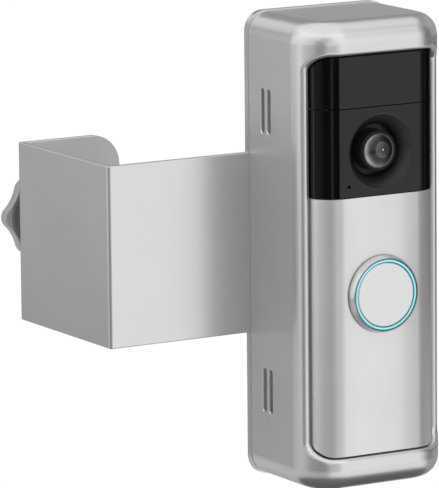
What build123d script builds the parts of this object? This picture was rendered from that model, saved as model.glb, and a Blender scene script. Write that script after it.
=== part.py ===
from build123d import *

import os
from math import cos, pi, sin, sqrt

# Video doorbell in an anti-theft cover, on a bracket that clamps round the edge of a door.
# Millimetres. +X right, +Y into the room, +Z up. The origin is the centre of the foam face that
# lies on the outside of the door, behind the doorbell. Depths are Y values, so the front is negative.

# ------------------------------------------------------------ driving dimensions
# bracket: one bent strip with a tall plate behind the doorbell
PAD = 1.5  # foam on the door side of the sheet
SHEET = 2.0  # bracket sheet
PLATE_FRONT = -(PAD + SHEET)
PLATE_WIDTH = 51.9
PLATE_HEIGHT = 148.2
PLATE_CORNER_R = 6.4
ARM_LOW = -27.9
ARM_HIGH = 29.5
DOOR_GAP = 55.0  # between the arm and the rear flange, inside
EDGE_X = -76.4  # outer face of the side plate
STRIP_JOIN_X = -10.0  # where the strip ends inside the plate
FLANGE_END_X = -40.4
FLANGE_CORNER_R = 10.0
BEND_OUTER_R = 1.1
BEND_INNER_R = 0.3
SHEET_BREAK = 0.2  # broken edges of the sheet
FLANGE_IN = -PAD + DOOR_GAP
FLANGE_OUT = FLANGE_IN + SHEET
PAD_HEIGHT = 51.0
PAD_MIDDLE_Z = (ARM_LOW + ARM_HIGH) / 2
PAD_CORNER_R = 3.0

# anti-theft cover
SHELL_WIDTH = 51.3
SHELL_HEIGHT = 147.6
SHELL_DEPTH = 38.0
SHELL_WALL = 2.0
SHELL_PLAN_R = 12.5  # upright front edges
SHELL_END_R = 6.9  # rounding of the top and bottom ends
SHELL_BACK_BREAK = 0.3
SHELL_FRONT = PLATE_FRONT - SHELL_DEPTH
LIP_BACK = SHELL_FRONT + SHELL_WALL
WINDOW_WIDTH = 45.0
WINDOW_HEIGHT = 126.6
WINDOW_R = 5.1
LIP_ROUND = 1.5
SLOT_LENGTH = 14.0
SLOT_WIDTH = 2.0
SLOT_ROUND = 0.4
SLOT_DEPTHS = (8.3, 12.0)  # in front of the plate
SLOT_HEIGHTS = (45.1, -43.8)

# clamp
CLAMP_X = (EDGE_X + FLANGE_END_X) / 2
CLAMP_Z = 1.6
SCREW_R = 3.0
NUT_FLATS = 10.0
NUT_HEIGHT = 5.0
NUT_COLLAR_R = 4.0
KNOB_FRONT = 73.0
KNOB_RIM = 3.5
KNOB_REACH = 13.5
KNOB_VALLEY = 11.5
KNOB_EDGE = 0.45
LOBE_R = 3.7
LOBES = 6
RECESS_R = 10.2
RECESS_DEPTH = 2.3
HEAD_FRONT = KNOB_FRONT + 1.2  # hexagon head sunk in the knob
HEAD_BACK = HEAD_FRONT + 2.6
DOOR_THICKNESS = 44.5  # the door that the clamp is set to
FOOT_R = 8.0
FOOT_FACE = DOOR_THICKNESS
FOOT_SEAT = FOOT_FACE + 1.5  # back of the rubber
BALL_Y = FOOT_SEAT + 3.3
BALL_R = 2.4
NECK_R = 1.7
FOOT_BACK = BALL_Y + 1.6
RUNNING = 0.05  # clearance of parts that turn or slide in each other
EASY = 0.1  # clearance of parts that are only put together

# doorbell body
BELL_FRONT = SHELL_FRONT + 1.0
BELL_FACE_WIDTH = 43.8
BELL_FACE_HEIGHT = 125.6
BELL_FACE_R = 4.6
BELL_PLAN_R = 8.5
FACE_WALL = 1.5
FACE_INNER_R = 6.0  # of the upright edges inside, clear of the frame
FACE_BACK = BELL_FRONT + FACE_WALL
FRAME_FRONT = -33.0
FRAME_BACK = -30.0
FRAME_BOSS_R = 2.0
SPIGOT_WIDTH = 36.6
SPIGOT_HEIGHT = 121.4
SPIGOT_WALL = 1.4
SPIGOT_REACH = 4.2
CASE_WIDTH = 46.8
CASE_HEIGHT = 132.0
CASE_WALL = 1.8
CASE_R = 5.9
CASE_BACK_R = 1.2
SEAL = 0.5
WALL_PLATE = 3.0
CASE_BACK = PLATE_FRONT - WALL_PLATE
CASE_FLOOR = CASE_BACK - CASE_WALL
SILVER_TOP = 18.65  # top edge of the silver faceplate
SENSOR_SEAM = 46.7  # seam between camera window and sensor window
SEAM_GAP = 0.3
FACE_SCREW_Y = -36.0
PAST_END = 80.0  # a height beyond the ends

# camera
CAMERA_Z = 32.5
CAMERA_HOLE_R = 11.55
CAMERA_RIM = 0.6  # width of the shallow bevel round the hole
CAMERA_RIM_DEPTH = 0.06
CONE_BACK = BELL_FRONT + 4.4
CONE_SHELF_R = 8.2
GROOVE_BACK = CONE_BACK + 2.2  # groove between the cone and the barrel
CONE_IN_R = 6.45
BARREL_FRONT = BELL_FRONT + 1.3
BARREL_R = 6.35
BARREL_BACK = -27.2
LENS_R = 5.15
LENS_BACK = -37.7
LENS_RISE = 1.5
IRIS_BACK = -37.15
CAMERA_BOARD = -25.2
HOLDER_FRONT = -32.4
HOLDER_SIZE = 16.0

# push button
BUTTON_Z = -12.3
BEZEL_TOP = BELL_FRONT - 2.7
BEZEL_R = 12.45
BEZEL_WALL_R = 11.6  # where it passes through the faceplate
BEZEL_ROUND = 0.8
BEZEL_FOOT = BELL_FRONT + 2.1
DISC_FACE = BEZEL_TOP + 0.15
DISC_R = 10.1
GUIDE_IN = DISC_R + 0.12
GUIDE_OUT = 11.1
BUTTON_BOARD = -35.0
BUTTON_BOARD_FRONT = BUTTON_BOARD - 1.0
SWITCH_FRONT = -37.6
PLUNGER_BACK = -36.9
PLUNGER_FRONT = -38.2
PLUNGER_R = 1.6
RING_LEDS = 8

# small parts and electronics
SENSOR_Z = 55.0
MIC_X, MIC_Z = -11.7, 22.3
MAIN_BOARD = -27.0
MAIN_BOARD_FRONT = MAIN_BOARD - 1.2
BATTERY_FRONT = -25.7
SPEAKER_Z = -48.5
COVER_SCREWS = [(x, z) for x in (-14, 14) for z in (-69, 69)]
COVER_SCREW_END = -13.0
CASE_SCREWS = [(x, z) for x in (-19.3, 19.3) for z in (-61.6, 61.6)]
CASE_SCREW_R = 1.1
PLATE_SCREWS = [(0, -50), (0, 50)]
COUNTERBORE = 1.2


# ------------------------------------------------------------ helpers
def looking_in(y):
    """Work plane at depth y whose drawing is the view from the street."""
    return Plane(origin=(0, y, 0), x_dir=(1, 0, 0), z_dir=(0, -1, 0))


def slab(drawing, back, front):
    """Front-view drawing extruded from depth back forward to depth front."""
    return extrude(looking_in(back) * drawing, amount=back - front)


def disc(r, back, front, x=0, z=0):
    return slab(Pos(x, z) * Circle(r), back, front)


def ring(r_out, r_in, back, front, x=0, z=0):
    return slab(Pos(x, z) * (Circle(r_out) - Circle(r_in)), back, front)


def block(width, height, back, front, x=0, z=0):
    return slab(Pos(x, z) * Rectangle(width, height), back, front)


def hexagon(flats, back, front, x=0, z=0):
    """Hexagonal block with a given width across its flats."""
    return slab(Pos(x, z) * RegularPolygon(flats / 2, 6, major_radius=False), back, front)


def turned(outline, x=0, z=0):
    """Outline of (radius, depth) points turned round an axis along Y."""
    return Pos(x, 0, z) * revolve(Polygon(*outline, align=None), Axis.Y)


def crowned(width, height, front, back, plan_r, end_r=0):
    """Slim body with round upright front edges and, with end_r, rounded ends."""
    plan = Pos(0, (front + back) / 2) * Rectangle(width, back - front)
    plan = fillet(plan.vertices().group_by(Axis.Y)[0], plan_r)
    body = extrude(plan, amount=height / 2, both=True)
    if not end_r:
        return body
    ends = body.faces().group_by(Axis.Z)
    edges = [e for face in (ends[0][0], ends[-1][0]) for e in face.edges() if e.center().Y < back - 0.01]
    return fillet(edges, end_r)


def band(low, high):
    """Everything between two heights."""
    return Pos(0, -20, (low + high) / 2) * Box(80, 60, high - low)


def save(name, solids):
    """Write one named piece, or one group of like pieces."""
    items = solids if isinstance(solids, list) else [solids]
    found = [s for item in items for s in item.solids()]
    export_step(found[0] if len(found) == 1 else Compound(children=found), f"parts/{name}.step")


# ------------------------------------------------------------ bracket and clamp
def door_bracket():
    outside = Pos((EDGE_X + STRIP_JOIN_X) / 2, (PLATE_FRONT + FLANGE_OUT) / 2) * Rectangle(
        STRIP_JOIN_X - EDGE_X, FLANGE_OUT - PLATE_FRONT
    )
    outside = fillet(outside.vertices().group_by(Axis.X)[0], BEND_OUTER_R)
    inside = Pos((EDGE_X + SHEET) / 2, (FLANGE_IN - PAD) / 2) * Rectangle(-EDGE_X - SHEET, DOOR_GAP)
    inside = fillet(inside.vertices().group_by(Axis.X)[0], BEND_INNER_R)
    beyond = Pos(FLANGE_END_X + SHELL_WIDTH, FLANGE_IN + SHEET / 2) * Rectangle(2 * SHELL_WIDTH, 3 * SHEET)
    strip = Pos(0, 0, ARM_LOW) * extrude(outside - inside - beyond, amount=ARM_HIGH - ARM_LOW)
    free_end = strip.edges().filter_by(Axis.Y).filter_by_position(Axis.X, FLANGE_END_X - 1, FLANGE_END_X + 1)
    strip = fillet(free_end, FLANGE_CORNER_R)
    strip = chamfer([e for e in strip.edges() if on_sheet_rim(e)], SHEET_BREAK)
    plate = slab(RectangleRounded(PLATE_WIDTH, PLATE_HEIGHT, PLATE_CORNER_R), -PAD, PLATE_FRONT)
    bracket = strip + plate
    for x, z in COVER_SCREWS:
        bracket -= countersunk_shape(x, z, EASY)
    for x, z in PLATE_SCREWS:
        bracket -= disc(1.55, -PAD, PLATE_FRONT, x, z)
    return bracket - disc(NUT_COLLAR_R + RUNNING, FLANGE_OUT, FLANGE_IN, CLAMP_X, CLAMP_Z)


def on_sheet_rim(edge):
    """True for the edges along the strip's rim, and not across its thickness or along its bends."""
    middle = edge @ 0.5
    on_rim = min(middle.Z - ARM_LOW, ARM_HIGH - middle.Z) < 0.01 or middle.X > FLANGE_END_X - FLANGE_CORNER_R
    return on_rim and edge.length > SHEET + 0.5 and middle.X < STRIP_JOIN_X - 0.01


def countersunk_shape(x, z, gap=0.0):
    """Countersunk screw from the door side into the cover, or its hole with a gap round it."""
    back = -PAD
    outline = [(0, back), (2.75 + gap, back), (2.75 + gap, back - 0.2)]
    outline += [(1.5 + gap, back - 1.45), (1.5 + gap, PLATE_FRONT), (1.25, PLATE_FRONT)]
    outline += [(1.25, COVER_SCREW_END), (0, COVER_SCREW_END)]
    return turned(outline, x, z)


def cover_screw(x, z):
    recess = slab(Pos(x, z) * RegularPolygon(1.2, 6), -PAD, -PAD - 1.0)
    return countersunk_shape(x, z) - recess


def plate_pad():
    return slab(RectangleRounded(45, 141, 5), 0, -PAD)


def arm_pad():
    left, right = EDGE_X + SHEET + 3, -27.0
    outline = RectangleRounded(right - left, PAD_HEIGHT, PAD_CORNER_R)
    return slab(Pos((left + right) / 2, PAD_MIDDLE_Z) * outline, 0, -PAD)


def edge_pad():
    middle = Pos(EDGE_X + SHEET + PAD / 2, DOOR_GAP / 2 - PAD, PAD_MIDDLE_Z)
    foam = middle * Box(PAD, DOOR_GAP - 8, PAD_HEIGHT)
    return fillet(foam.edges().filter_by(Axis.X), PAD_CORNER_R)


def clamp_nut():
    nut = hexagon(NUT_FLATS, FLANGE_OUT + NUT_HEIGHT, FLANGE_OUT, CLAMP_X, CLAMP_Z)
    nut = chamfer(nut.faces().sort_by(Axis.Y)[-1].edges(), 0.5)
    nut += disc(NUT_COLLAR_R, FLANGE_OUT, FLANGE_IN, CLAMP_X, CLAMP_Z)
    return nut - disc(SCREW_R + RUNNING, FLANGE_OUT + NUT_HEIGHT, FLANGE_IN, CLAMP_X, CLAMP_Z)


def clamp_screw():
    ball_top = BALL_Y + sqrt(BALL_R**2 - NECK_R**2)
    outline = [(0, ball_top - 1), (NECK_R, ball_top - 1), (NECK_R, FOOT_BACK + 0.4)]
    outline += [(SCREW_R, FOOT_BACK + 1.2), (SCREW_R, HEAD_FRONT), (0, HEAD_FRONT)]
    neck = turned(outline, CLAMP_X, CLAMP_Z)
    ball = Pos(CLAMP_X, BALL_Y, CLAMP_Z) * Sphere(BALL_R)
    return neck + ball + hexagon(NUT_FLATS, HEAD_BACK, HEAD_FRONT, CLAMP_X, CLAMP_Z)


def clamp_foot():
    outline = [(0, FOOT_SEAT), (FOOT_R, FOOT_SEAT), (FOOT_R, FOOT_SEAT + 1.6)]
    outline += [(4.6, FOOT_BACK), (0, FOOT_BACK)]
    socket = Pos(CLAMP_X, BALL_Y, CLAMP_Z) * Sphere(BALL_R + RUNNING)
    mouth = [(0, BALL_Y), (NECK_R + 0.35, BALL_Y), (NECK_R + 0.35, FOOT_BACK - 0.4)]
    mouth += [(NECK_R + 0.8, FOOT_BACK), (0, FOOT_BACK)]
    return turned(outline, CLAMP_X, CLAMP_Z) - socket - turned(mouth, CLAMP_X, CLAMP_Z)


def foot_pad():
    outline = [(0, FOOT_SEAT), (FOOT_R, FOOT_SEAT), (FOOT_R, FOOT_FACE + 0.4), (FOOT_R - 0.4, FOOT_FACE)]
    return turned(outline + [(0, FOOT_FACE)], CLAMP_X, CLAMP_Z)


def lobed_outline():
    """Star of round lobes joined by hollows that are tangent to them."""
    lobe_at = KNOB_REACH - LOBE_R
    half = pi / LOBES
    gap = LOBE_R - KNOB_VALLEY
    hollow_at = (gap**2 - lobe_at**2) / (-2 * lobe_at * cos(half) - 2 * gap)
    share = LOBE_R / (LOBE_R + hollow_at - KNOB_VALLEY)
    join_x = lobe_at + share * (hollow_at * cos(half) - lobe_at)
    join_y = share * hollow_at * sin(half)
    arcs = []
    for k in range(LOBES):
        turn = 180 + 360 * k / LOBES
        low, high = Vector(join_x, -join_y).rotate(Axis.Z, turn), Vector(join_x, join_y).rotate(Axis.Z, turn)
        far = Vector(join_x, -join_y).rotate(Axis.Z, turn + 360 / LOBES)
        crest = Vector(KNOB_REACH, 0).rotate(Axis.Z, turn)
        valley = Vector(KNOB_VALLEY, 0).rotate(Axis.Z, turn + 180 / LOBES)
        arcs += [ThreePointArc(low, crest, high), ThreePointArc(high, valley, far)]
    return make_face(arcs)


def clamp_knob():
    back, floor = KNOB_FRONT + KNOB_RIM, KNOB_FRONT + RECESS_DEPTH
    knob = slab(Pos(CLAMP_X, CLAMP_Z) * lobed_outline(), back, KNOB_FRONT)
    knob = fillet(knob.faces().filter_by(Axis.Y).edges(), KNOB_EDGE)
    recess = [(0, KNOB_FRONT), (RECESS_R, KNOB_FRONT), (RECESS_R - 0.3, floor), (0, floor)]
    knob -= turned(recess, CLAMP_X, CLAMP_Z)
    bore = SCREW_R + RUNNING
    boss = [(bore, KNOB_FRONT - 1.5), (6.2, KNOB_FRONT - 1.5), (6.6, KNOB_FRONT), (6.6, floor + 0.5)]
    knob += turned(boss + [(bore, floor + 0.5)], CLAMP_X, CLAMP_Z)
    crown = [(SCREW_R, back - 1.1), (9, back - 1.1), (9, back), (8, back + 1.3), (SCREW_R, back + 1.3)]
    knob += turned(crown, CLAMP_X, CLAMP_Z)
    knob -= hexagon(NUT_FLATS + 2 * RUNNING, back + 2, HEAD_FRONT, CLAMP_X, CLAMP_Z)
    knob -= disc(bore, back, KNOB_FRONT - 2, CLAMP_X, CLAMP_Z)
    return knob - disc(6.6, back + 2, HEAD_BACK, CLAMP_X, CLAMP_Z)


def knob_cap():
    back = KNOB_FRONT + KNOB_RIM + 1.3
    outline = [(0, HEAD_BACK), (6.55, HEAD_BACK), (6.55, back - 0.2), (5.4, back + 0.5), (0, back + 0.9)]
    return turned(outline, CLAMP_X, CLAMP_Z)


# ------------------------------------------------------------ anti-theft cover
def cover_shell():
    outside = crowned(SHELL_WIDTH, SHELL_HEIGHT, SHELL_FRONT, PLATE_FRONT, SHELL_PLAN_R, SHELL_END_R)
    shell = chamfer(outside.faces().sort_by(Axis.Y)[-1].edges(), SHELL_BACK_BREAK)
    shell -= crowned(SHELL_WIDTH - 2 * SHELL_WALL, SHELL_HEIGHT - 2 * SHELL_WALL, LIP_BACK, PLATE_FRONT,
                     SHELL_PLAN_R - SHELL_WALL, SHELL_END_R - SHELL_WALL)
    for x, z in COVER_SCREWS:
        boss = disc(2.6, PLATE_FRONT, LIP_BACK - 0.2, x, z)
        rib = block(1.6, 3.2, PLATE_FRONT, LIP_BACK - 0.2, x, z + (2 if z > 0 else -2))
        shell += boss + rib
    shell = shell & outside
    window = RectangleRounded(WINDOW_WIDTH, WINDOW_HEIGHT, WINDOW_R)
    shell -= slab(window, SHELL_FRONT + SHELL_PLAN_R, SHELL_FRONT - 5)
    shell = fillet([e for e in shell.edges() if on_window_rim(e)], LIP_ROUND)
    for x, z in COVER_SCREWS:
        shell -= disc(1.27, PLATE_FRONT, COVER_SCREW_END - 0.3, x, z)
    slot = SlotOverall(SLOT_LENGTH, SLOT_WIDTH, rotation=90)
    for side in (-1, 1):
        wall = Plane(origin=(side * SHELL_WIDTH / 2, 0, 0), x_dir=(0, 1, 0), z_dir=(side, 0, 0))
        for depth in SLOT_DEPTHS:
            for height in SLOT_HEIGHTS:
                place = wall * Pos(PLATE_FRONT - depth, height)
                shell -= extrude(place * slot, amount=-SHELL_WALL - 1)
    return fillet([e for e in shell.edges() if on_slot_rim(e)], SLOT_ROUND)


def on_window_rim(edge):
    """True for the edges where the window meets the outside of the shell."""
    middle = edge @ 0.5
    near_x = abs(abs(middle.X) - WINDOW_WIDTH / 2) < 2
    near_z = abs(abs(middle.Z) - WINDOW_HEIGHT / 2) < 2
    at_side = abs(middle.X) - (SHELL_WIDTH / 2 - SHELL_PLAN_R)
    surface = SHELL_FRONT + SHELL_PLAN_R - sqrt(SHELL_PLAN_R**2 - max(at_side, 0) ** 2)
    return (near_x or near_z) and abs(middle.Y - surface) < 0.3


def on_slot_rim(edge):
    """True for the edges where the side slots meet the outside of the shell."""
    middle = edge @ 0.5
    behind = PLATE_FRONT - middle.Y
    near = SLOT_DEPTHS[0] - SLOT_WIDTH < behind < SLOT_DEPTHS[-1] + SLOT_WIDTH
    return near and abs(abs(middle.X) - SHELL_WIDTH / 2) < 0.01 and abs(middle.Z) < WINDOW_HEIGHT / 2


def lip_foam():
    return [block(26, 1.6, FRAME_FRONT, LIP_BACK, 0, z) for z in (-65.1, 65.1)]


# ------------------------------------------------------------ doorbell body
def wall_plate():
    plate = slab(RectangleRounded(41, 122, 4), PLATE_FRONT, CASE_BACK)
    for x, z in PLATE_SCREWS:
        plate -= disc(1.6, PLATE_FRONT, CASE_BACK, x, z)
        plate -= disc(3.1, PLATE_FRONT - COUNTERBORE, CASE_BACK, x, z)
    return plate - slab(SlotOverall(30, 12, rotation=90), PLATE_FRONT, CASE_BACK)


def plate_screw(x, z):
    head_back = PLATE_FRONT - COUNTERBORE
    outline = [(0, -PAD), (1.5, -PAD), (1.5, head_back), (2.9, head_back), (2.7, CASE_BACK + 0.4)]
    return turned(outline + [(1.9, CASE_BACK + 0.1), (0, CASE_BACK + 0.1)], x, z)


def rear_case():
    rim = FRAME_BACK + SEAL
    case = slab(RectangleRounded(CASE_WIDTH, CASE_HEIGHT, CASE_R), CASE_BACK, rim)
    case = fillet(case.faces().sort_by(Axis.Y)[-1].edges(), CASE_BACK_R)
    inside = RectangleRounded(CASE_WIDTH - 2 * CASE_WALL, CASE_HEIGHT - 2 * CASE_WALL, CASE_R - CASE_WALL)
    case -= slab(inside, CASE_FLOOR, rim)
    for x, z in CASE_SCREWS:
        case += disc(2.4, CASE_FLOOR, rim, x, z)
    for x, z in CASE_SCREWS:
        case -= disc(CASE_SCREW_R + RUNNING, CASE_BACK, rim, x, z)
        case -= disc(2.1, CASE_BACK, CASE_BACK - COUNTERBORE, x, z)
    return case


def case_seal():
    outside = RectangleRounded(CASE_WIDTH - 0.4, CASE_HEIGHT - 0.4, CASE_R - 0.2)
    inside = RectangleRounded(CASE_WIDTH - 3, CASE_HEIGHT - 3, CASE_R - 1.5)
    return slab(outside - inside, FRAME_BACK + SEAL, FRAME_BACK)


def case_screw(x, z):
    seat, end = CASE_BACK - COUNTERBORE, FRAME_BACK - 2
    outline = [(0, CASE_BACK - 0.1), (2.0, CASE_BACK - 0.1), (2.0, seat)]
    return turned(outline + [(CASE_SCREW_R, seat), (CASE_SCREW_R, end), (0, end)], x, z)


def front_frame():
    frame = slab(RectangleRounded(CASE_WIDTH - 1.0, CASE_HEIGHT, CASE_R - 0.5), FRAME_BACK, FRAME_FRONT)
    frame = frame & crowned(CASE_WIDTH - 1.0, CASE_HEIGHT, FRAME_FRONT, FRAME_BACK, 1.5)
    spigot = RectangleRounded(SPIGOT_WIDTH, SPIGOT_HEIGHT, 4.4)
    spigot -= RectangleRounded(SPIGOT_WIDTH - 2 * SPIGOT_WALL, SPIGOT_HEIGHT - 2 * SPIGOT_WALL, 3)
    frame += slab(spigot, FRAME_FRONT, FRAME_FRONT - SPIGOT_REACH)
    frame += ring(13.4, 11.2, FRAME_FRONT, BUTTON_BOARD, 0, BUTTON_Z)
    holder_way = RectangleRounded(HOLDER_SIZE + 0.4, HOLDER_SIZE + 0.4, 1.7)
    frame -= slab(Pos(0, CAMERA_Z) * holder_way, FRAME_BACK, FRAME_FRONT)
    frame -= Pos(0, FACE_SCREW_Y, 0.5 - SPIGOT_HEIGHT / 2) * Cylinder(1.0 + RUNNING, 4)
    frame -= disc(5.2, FRAME_BACK, FRAME_FRONT, 0, SENSOR_Z)
    frame -= disc(9.0, FRAME_BACK, FRAME_FRONT, 0, BUTTON_Z)
    for x, z in CASE_SCREWS:
        frame -= disc(CASE_SCREW_R + RUNNING, FRAME_BACK, FRAME_BACK - 2.2, x, z)
    for x in (-15, 15):
        for z in (-30, 8):
            frame += disc(FRAME_BOSS_R, MAIN_BOARD_FRONT, FRAME_BACK, x, z)
        for z in (21, 55):
            frame += disc(FRAME_BOSS_R, CAMERA_BOARD, FRAME_BACK, x, z)
    return frame


def front_cover(low, high):
    """Piece of the doorbell's front skin between two heights."""
    inner_width, inner_height = BELL_FACE_WIDTH - 2 * FACE_WALL, BELL_FACE_HEIGHT - 2 * FACE_WALL
    skin = crowned(BELL_FACE_WIDTH, BELL_FACE_HEIGHT, BELL_FRONT, FRAME_BACK, BELL_PLAN_R)
    outline = RectangleRounded(BELL_FACE_WIDTH, BELL_FACE_HEIGHT, BELL_FACE_R)
    skin = skin & slab(outline, FRAME_FRONT, BELL_FRONT)
    hollow = crowned(inner_width, inner_height, FACE_BACK, FRAME_BACK, FACE_INNER_R)
    inline = RectangleRounded(inner_width, inner_height, BELL_FACE_R - FACE_WALL)
    hollow = hollow & slab(inline, FRAME_FRONT, BELL_FRONT)
    return (skin - hollow) & band(low, high)


def faceplate():
    plate = front_cover(-PAST_END, SILVER_TOP) - disc(
        BEZEL_WALL_R + 0.05, FRAME_FRONT, BELL_FRONT - 1, 0, BUTTON_Z)
    return plate - Pos(0, FACE_SCREW_Y, -BELL_FACE_HEIGHT / 2) * Cylinder(1.1, 8)


def faceplate_screw():
    low, length = -BELL_FACE_HEIGHT / 2, 2.8
    shank = Pos(0, FACE_SCREW_Y, low + length / 2) * Cylinder(1.0, length)
    return shank - Pos(0, FACE_SCREW_Y, low + 0.5) * extrude(RegularPolygon(0.55, 6), amount=-1)


def camera_window():
    low, high = SILVER_TOP + SEAM_GAP, SENSOR_SEAM - SEAM_GAP / 2
    window = front_cover(low, high) - disc(CAMERA_HOLE_R, FRAME_FRONT, BELL_FRONT - 1, 0, CAMERA_Z)
    bottom = BELL_FRONT + CAMERA_RIM_DEPTH
    bevel = [(0, BELL_FRONT), (CAMERA_HOLE_R + CAMERA_RIM, BELL_FRONT), (CAMERA_HOLE_R, bottom)]
    window -= turned(bevel + [(0, bottom)], 0, CAMERA_Z)
    return window - disc(0.55, FRAME_FRONT, BELL_FRONT - 1, MIC_X, MIC_Z)


def sensor_window():
    return front_cover(SENSOR_SEAM + SEAM_GAP / 2, PAST_END)


def motion_sensor():
    foot, front = CAMERA_BOARD - 0.8, -31.7
    base = [(0, CAMERA_BOARD), (4.6, CAMERA_BOARD), (4.6, foot), (4.1, foot)]
    can = turned(base + [(4.1, front + 0.3), (3.8, front), (0, front)], 0, SENSOR_Z)
    return can - block(4, 3, front, front + 0.3, 0, SENSOR_Z)


# ------------------------------------------------------------ camera
def camera_cone():
    sleeve_end, rim_back = GROOVE_BACK + 0.5, FACE_BACK + 0.8
    outline = [(CAMERA_HOLE_R - 0.05, BELL_FRONT + CAMERA_RIM_DEPTH), (CONE_SHELF_R, CONE_BACK)]
    outline += [(CONE_SHELF_R, GROOVE_BACK), (CONE_IN_R, GROOVE_BACK), (CONE_IN_R, sleeve_end)]
    outline += [(9.0, sleeve_end), (9.0, CONE_BACK + 0.6), (11.0, rim_back)]
    outline += [(12.8, rim_back), (12.8, FACE_BACK)]
    return turned(outline + [(CAMERA_HOLE_R - 0.05, FACE_BACK)], 0, CAMERA_Z)


def lens_barrel():
    bore, step = LENS_R + 0.05, IRIS_BACK + 0.05
    outline = [(5.5, BARREL_FRONT), (BARREL_R - 0.25, BARREL_FRONT), (BARREL_R, BARREL_FRONT + 0.25)]
    outline += [(BARREL_R, BARREL_BACK), (4.4, BARREL_BACK), (4.4, step), (bore, step)]
    return turned(outline + [(bore, BARREL_FRONT + 0.3)], 0, CAMERA_Z)


def front_lens():
    edge = BARREL_FRONT + 0.35
    ball_r = (LENS_R**2 + LENS_RISE**2) / (2 * LENS_RISE)
    ball = Pos(0, edge - LENS_RISE + ball_r, CAMERA_Z) * Sphere(ball_r)
    return disc(LENS_R, LENS_BACK, edge - LENS_RISE - 1, 0, CAMERA_Z) & ball


def lens_iris():
    outline = [(1.9, IRIS_BACK), (LENS_R, IRIS_BACK), (LENS_R, LENS_BACK), (3.4, LENS_BACK + 0.05)]
    return turned(outline + [(1.9, IRIS_BACK - 0.1)], 0, CAMERA_Z)


def rear_lens():
    return disc(4.35, -30.0, -31.8, 0, CAMERA_Z)


def lens_holder():
    outline = RectangleRounded(HOLDER_SIZE, HOLDER_SIZE, 1.5)
    body = slab(Pos(0, CAMERA_Z) * outline, CAMERA_BOARD, HOLDER_FRONT)
    body -= disc(BARREL_R + RUNNING, BARREL_BACK, HOLDER_FRONT, 0, CAMERA_Z)
    return body - block(10, 10, CAMERA_BOARD, BARREL_BACK, 0, CAMERA_Z)


def camera_board():
    return slab(Pos(0, 38) * RectangleRounded(36, 40, 1.5), CAMERA_BOARD + 1.0, CAMERA_BOARD)


def image_sensor():
    return block(8.4, 8.4, CAMERA_BOARD, CAMERA_BOARD - 1.1, 0, CAMERA_Z)


def infrared_led(x, z):
    base = FRAME_FRONT - 1.2
    dome = [(0, base), (1.4, base), (1.0, base - 1.0), (0, base - 1.3)]
    return block(3.5, 3.5, FRAME_FRONT, base, x, z) + turned(dome, x, z)


# ------------------------------------------------------------ electronics
def main_board():
    return slab(Pos(0, -11) * RectangleRounded(38, 50, 1.5), MAIN_BOARD, MAIN_BOARD_FRONT)


def board_parts():
    sizes = [(18, 16, 1.1, -5, -2), (9, 9, 0.9, 11, 2), (6, 12, 0.9, 12, -18), (12, 7, 0.8, -8, -24)]
    return [block(width, height, MAIN_BOARD + deep, MAIN_BOARD, x, z) for width, height, deep, x, z in sizes]


def battery_pack():
    pack = slab(Pos(0, -21) * RectangleRounded(36, 76, 3), CASE_FLOOR, BATTERY_FRONT)
    return fillet(pack.edges().filter_by(Axis.Z), 4)


def speaker():
    back, front = BATTERY_FRONT - 0.1, FRAME_BACK
    magnet = [(0, back), (9, back), (9, back - 1.4), (12, back - 1.8), (12, front), (10, front)]
    cone = [(8, front + 0.8), (3.2, front + 0.5), (0, front + 0.2)]
    return turned(magnet + cone, 0, SPEAKER_Z)


def microphone():
    return block(4.0, 3.2, FRAME_FRONT, FRAME_FRONT - 1.2, MIC_X, MIC_Z)


def mic_boot():
    return ring(1.5, 0.6, FRAME_FRONT - 1.2, FACE_BACK, MIC_X, MIC_Z)


# ------------------------------------------------------------ push button
def button_bezel():
    inside, crest = GUIDE_OUT + 0.05, BEZEL_R - 0.35
    outline = [(inside, BEZEL_TOP), (crest, BEZEL_TOP), (BEZEL_R, BELL_FRONT), (BEZEL_WALL_R, BELL_FRONT)]
    bezel = turned(outline + [(BEZEL_WALL_R, BEZEL_FOOT), (inside, BEZEL_FOOT)], 0, BUTTON_Z)
    rims = bezel.edges().group_by(Axis.Y)[0].sort_by(SortBy.RADIUS)
    return fillet(rims[-1], BEZEL_ROUND)


def light_ring():
    foot = BEZEL_FOOT + 0.1
    outline = [(GUIDE_IN, DISC_FACE + 0.1), (GUIDE_IN + 0.1, DISC_FACE), (GUIDE_OUT, DISC_FACE)]
    outline += [(GUIDE_OUT, foot), (13.0, foot), (13.0, foot + 0.9), (GUIDE_IN, foot + 0.9)]
    return turned(outline, 0, BUTTON_Z)


def button_cap():
    face, skirt_end, inside, skirt_in = DISC_FACE, BELL_FRONT + 1.9, DISC_FACE + 1.8, DISC_R - 1.2
    outline = [(0, face), (DISC_R - 0.25, face), (DISC_R, face + 0.25), (DISC_R, skirt_end)]
    outline += [(skirt_in, skirt_end), (skirt_in, inside), (2.2, inside)]
    outline += [(2.0, PLUNGER_FRONT), (0, PLUNGER_FRONT)]
    return turned(outline, 0, BUTTON_Z)


def switch_plunger():
    return disc(PLUNGER_R, PLUNGER_BACK, PLUNGER_FRONT, 0, BUTTON_Z)


def button_switch():
    body = block(6.2, 6.2, BUTTON_BOARD_FRONT, SWITCH_FRONT, 0, BUTTON_Z)
    return body - disc(PLUNGER_R + EASY, BUTTON_BOARD_FRONT - 0.3, SWITCH_FRONT, 0, BUTTON_Z)


def button_board():
    return disc(13.2, BUTTON_BOARD, BUTTON_BOARD_FRONT, 0, BUTTON_Z)


def ring_led(k):
    turn = 2 * pi * k / RING_LEDS
    x, z = 11.0 * cos(turn), BUTTON_Z + 11.0 * sin(turn)
    return block(1.4, 1.4, BUTTON_BOARD_FRONT, BUTTON_BOARD_FRONT - 0.7, x, z)


def button_seal():
    return ring(13.0, 12.1, BUTTON_BOARD_FRONT, BEZEL_FOOT + 1.0, 0, BUTTON_Z)


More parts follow.
